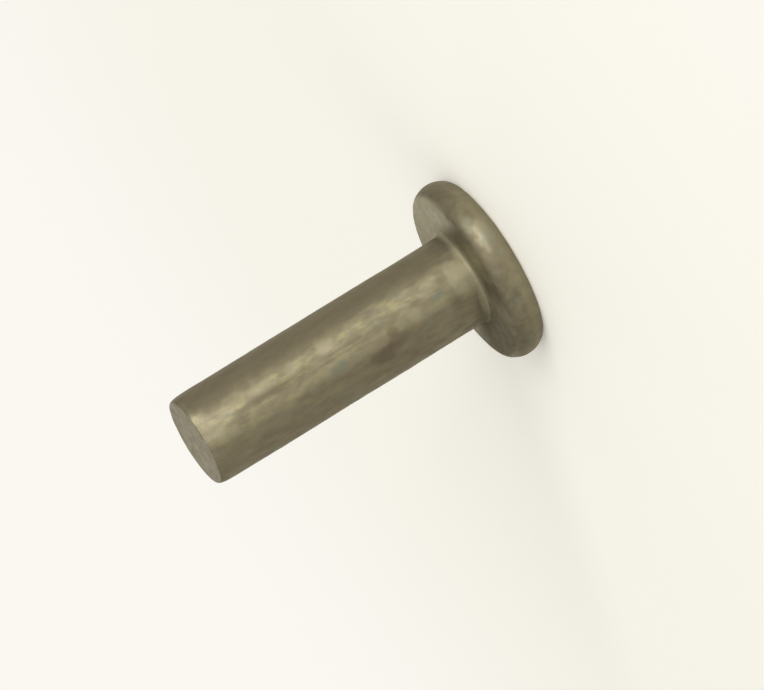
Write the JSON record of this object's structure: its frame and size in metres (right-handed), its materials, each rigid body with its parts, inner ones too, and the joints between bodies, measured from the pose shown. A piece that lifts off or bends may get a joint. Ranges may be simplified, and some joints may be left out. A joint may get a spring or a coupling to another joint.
{
  "type": "tong rivet",
  "caption": "Solid steel rivet with a thick flat head and a plain round shank, for the joint of a pair of blacksmith's tongs.",
  "frame": {"origin": "centre of the head's outer face, which the rivet stands on", "axes": "+Z runs along the shank from the head to the free end; X and Y lie in the head's outer face"},
  "size_m": [0.016, 0.016, 0.0289],
  "materials": {
    "steel": "bare cold-headed mild steel, dull olive grey, mottled and handled, satin to matt"
  },
  "bodies": {
    "root": {"rivet": "steel"}
  },
  "joints": []
}
